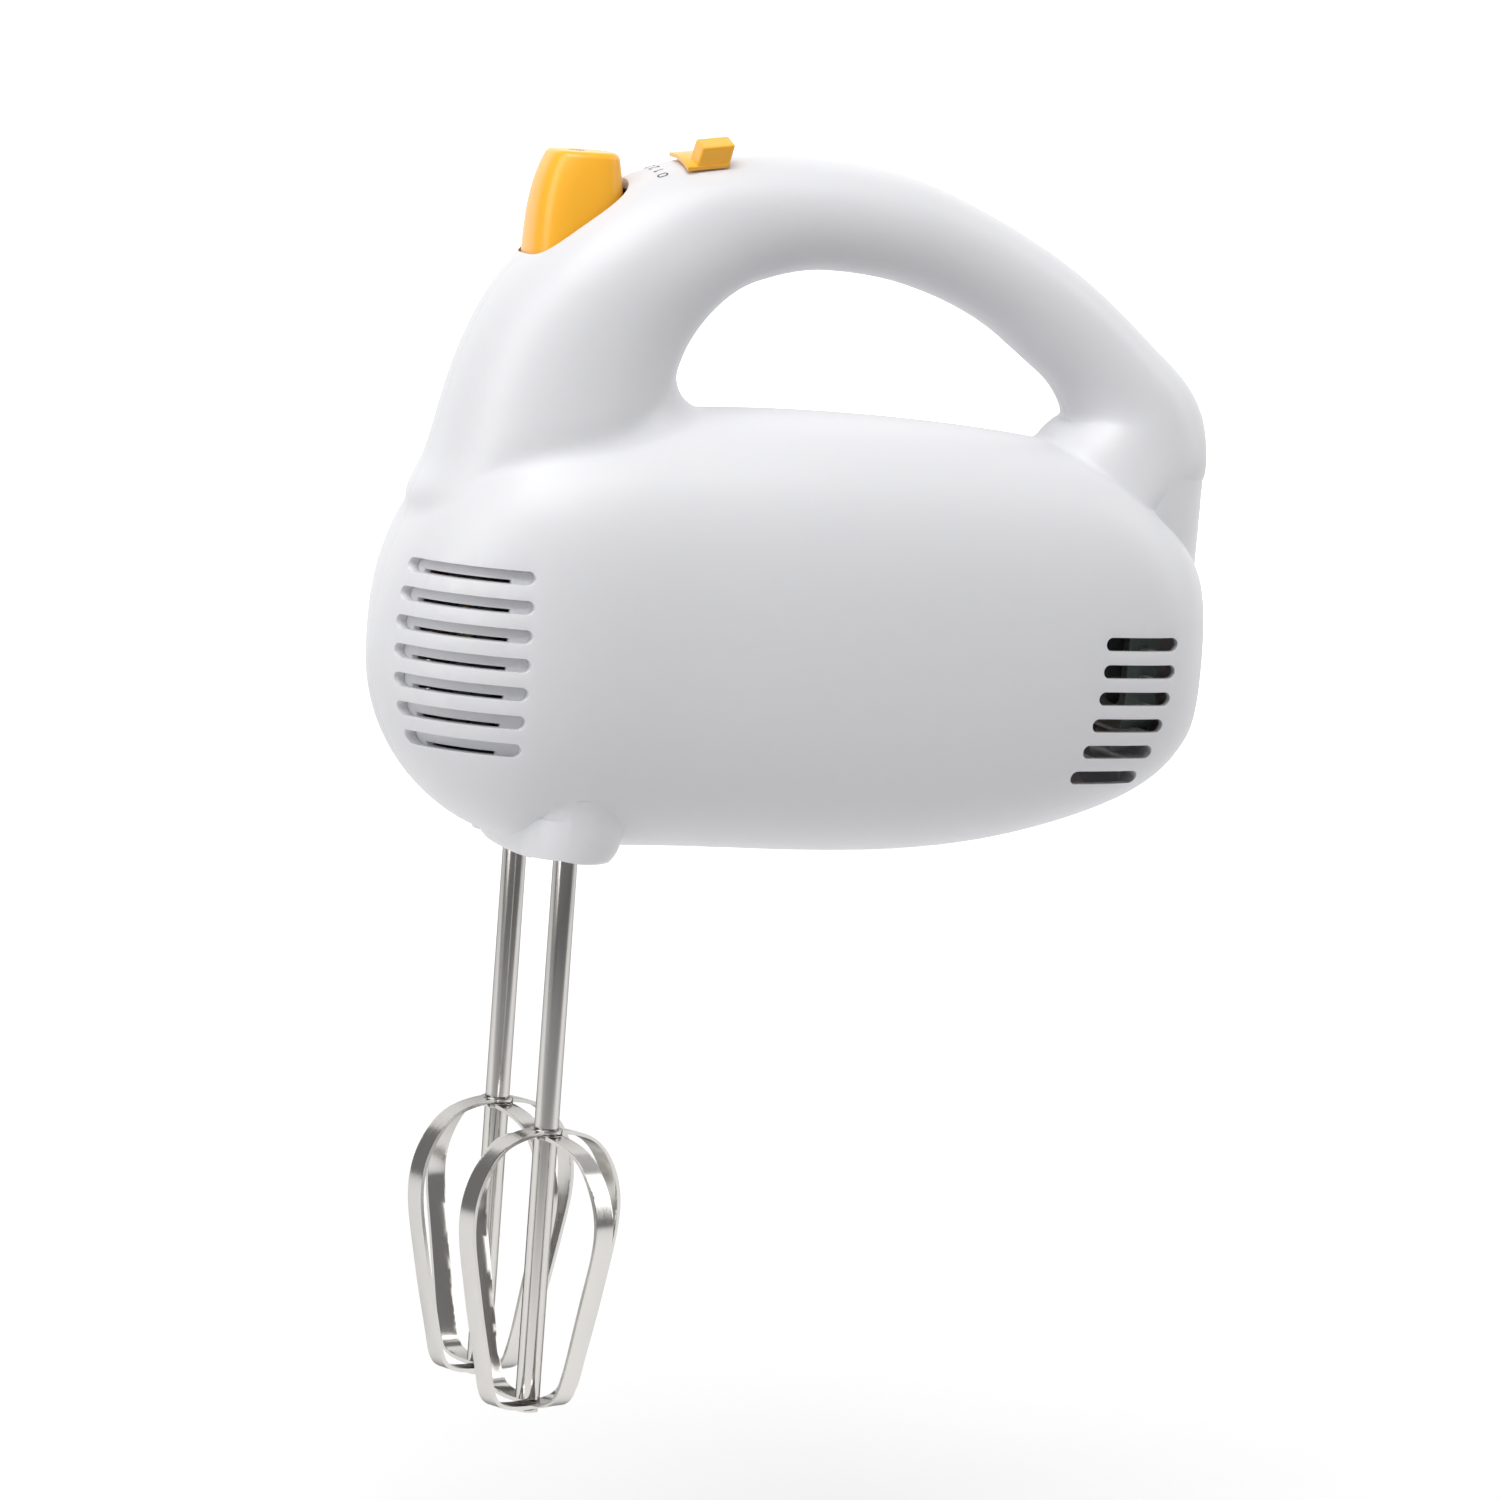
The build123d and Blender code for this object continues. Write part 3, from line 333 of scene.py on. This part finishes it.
DRAWN_HEIGHT = 1.6                             # the digits are drawn 1 wide and this high
DIGITS = {
    "0": chain((0.3, 0), (0.7, 0), (1, 0.3), (1, 1.3), (0.7, 1.6), (0.3, 1.6), (0, 1.3), (0, 0.3),
               (0.3, 0)),
    "1": chain((0.15, 1.25), (0.55, 1.6), (0.55, 0)),
    "2": chain((0, 1.25), (0.3, 1.6), (0.7, 1.6), (1, 1.3), (1, 1.0), (0, 0), (1, 0)),
    "3": chain((0, 1.35), (0.3, 1.6), (0.7, 1.6), (1, 1.3), (0.65, 0.85), (1, 0.45), (0.7, 0),
               (0.3, 0), (0, 0.25)),
    "4": chain((0.75, 0), (0.75, 1.6), (0, 0.5), (1, 0.5)),
    "5": chain((0.95, 1.6), (0.1, 1.6), (0.05, 0.9), (0.6, 1.0), (1, 0.65), (1, 0.35), (0.6, 0),
               (0, 0.1)),
}
EJECT_SIGN = chain((-1, 0), (1, 0), (0, 1.1), (-1, 0)) + chain((-1, -0.5), (1, -0.5))

shells = [mesh_under("housing_left"), mesh_under("housing_right")]
pivot = Vector(joints["speed_swing"]["pos_m"])
swing_axis = Vector(joints["speed_swing"]["axis"])
swing = joints["speed_swing"]["range_deg"][1]
upright = Vector((0, 0, 1)) - swing_axis * swing_axis.z
upright.normalize()
size = DIGIT_HEIGHT / DRAWN_HEIGHT
for step, (digit, drawing) in enumerate(DIGITS.items()):
    lean = radians(swing * (step / (len(DIGITS) - 1) - 0.5))
    outward = Matrix.Rotation(lean, 3, swing_axis) @ upright
    sideways = outward.cross(swing_axis)
    lines = [tuple((x * size - size / 2, y * size) for x, y in pair) for pair in drawing]
    spot = pivot + outward * DIGIT_RADIUS + swing_axis * DIGIT_AHEAD
    mark = print_flat("speed_digit_" + digit, lines, spot, -sideways, swing_axis, shells)
    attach(mark, "housing")

button_low, button_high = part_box("eject_button")
crown = Vector(((button_low[0] + button_high[0]) / 2, 0, button_high[2]))
lines = [tuple((x * ICON, y * ICON) for x, y in pair) for pair in EJECT_SIGN]
icon = print_flat("eject_icon", lines, crown, Vector((0, 1, 0)), Vector((-1, 0, 0)),
                  [mesh_under("eject_button")])
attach(icon, "eject_button")


# ---------------------------------------------------------------- stage
def area_light(name, at, size, power):
    """A soft box aimed at the mixer."""
    data = bpy.data.lights.new(name, "AREA")
    data.shape = "RECTANGLE"
    data.size, data.size_y = size
    data.energy = power
    lamp = bpy.data.objects.new(name, data)
    lamp.location = at
    lamp.rotation_euler = (Vector(LIGHT_AIM) - Vector(at)).to_track_quat("-Z", "Y").to_euler()
    bpy.context.collection.objects.link(lamp)


right = Vector((cos(AZIMUTH), sin(AZIMUTH), 0))
ahead = Vector((-sin(AZIMUTH) * cos(ELEVATION), cos(AZIMUTH) * cos(ELEVATION), -sin(ELEVATION)))
above = right.cross(ahead)
rolled_right = cos(ROLL) * right + sin(ROLL) * above
rolled_up = cos(ROLL) * above - sin(ROLL) * right
camera_data = bpy.data.cameras.new("camera")
camera_data.lens = LENS
camera_data.sensor_width = SENSOR
camera_data.clip_end = CLIP_END
camera = bpy.data.objects.new("camera", camera_data)
seat = DRIVE - DRIVE_RIGHT * rolled_right - DRIVE_UP * rolled_up - DISTANCE * ahead
turn = Matrix((rolled_right, rolled_up, -ahead)).transposed()
camera.matrix_world = Matrix.Translation(seat) @ turn.to_4x4()
bpy.context.collection.objects.link(camera)
bpy.context.scene.camera = camera

floor_z = frame_box[0][2] - FLOOR_DROP
back = Vector((ahead.x, ahead.y, 0)).normalized()
side = Vector((back.y, -back.x, 0))
cove = [radians(90 * k / COVE_STEPS) for k in range(1, COVE_STEPS + 1)]
profile = [(FLOOR_NEAR, 0.0), (FLOOR_FAR, 0.0)]
profile += [(FLOOR_FAR + COVE_RADIUS * sin(a), COVE_RADIUS - COVE_RADIUS * cos(a)) for a in cove]
profile += [(FLOOR_FAR + COVE_RADIUS, WALL_TOP)]
points = [back * run + side * aside + Vector((0, 0, floor_z + rise))
          for run, rise in profile for aside in (-HALF_FLOOR, HALF_FLOOR)]
quads = [(2 * k, 2 * k + 1, 2 * k + 3, 2 * k + 2) for k in range(len(profile) - 1)]
paper = shader("backdrop", (PAPER_PALE, PAPER_PALE, PAPER_PALE), 0.8, grain=(60, 60, 60), bump=0.01)
nodes, links = paper.node_tree.nodes, paper.node_tree.links
place = nodes.new("ShaderNodeTexCoord")
along = nodes.new("ShaderNodeVectorMath")
along.operation = "DOT_PRODUCT"
along.inputs[1].default_value = back
links.new(place.outputs["Object"], along.inputs[0])


def ramp(span, start, end):
    """A value on the paper that eases from start to end over a span, measured back from the mixer."""
    ease = nodes.new("ShaderNodeMapRange")
    ease.interpolation_type = "SMOOTHSTEP"
    ease.inputs["From Min"].default_value, ease.inputs["From Max"].default_value = span
    ease.inputs["To Min"].default_value, ease.inputs["To Max"].default_value = start, end
    links.new(along.outputs["Value"], ease.inputs["Value"])
    return ease.outputs["Result"]


# painted light: the paper's emission makes it glow though it is no lamp
glow = nodes.new("ShaderNodeMath")
glow.operation = "ADD"
links.new(ramp(PAPER_FADE, 0.0, NEAR_GLOW), glow.inputs[0])
links.new(ramp(WALL_FADE, 0.0, FAR_GLOW), glow.inputs[1])
paper_skin = nodes["Principled BSDF"]
paper_skin.inputs["Emission Color"].default_value = (1, 1, 1, 1)
links.new(glow.outputs["Value"], paper_skin.inputs["Emission Strength"])
# the paper's colour darkens in front of the mixer to cut the light bounced onto its underside
links.new(ramp(PAPER_FADE, PAPER_DARK, PAPER_PALE), paper_skin.inputs["Base Color"])
backdrop = add_mesh("backdrop", points, quads, paper)
shade_smooth(backdrop.data)

for name, (at, extent, power) in LIGHTS.items():
    area_light(name, at, extent, power)
world = bpy.data.worlds.new("studio")
world.use_nodes = True
world.node_tree.nodes["Background"].inputs["Color"].default_value = (1.0, 1.0, 1.0, 1)
world.node_tree.nodes["Background"].inputs["Strength"].default_value = WORLD_LIGHT
bpy.context.scene.world = world
bpy.context.scene.view_settings.view_transform = "Standard"
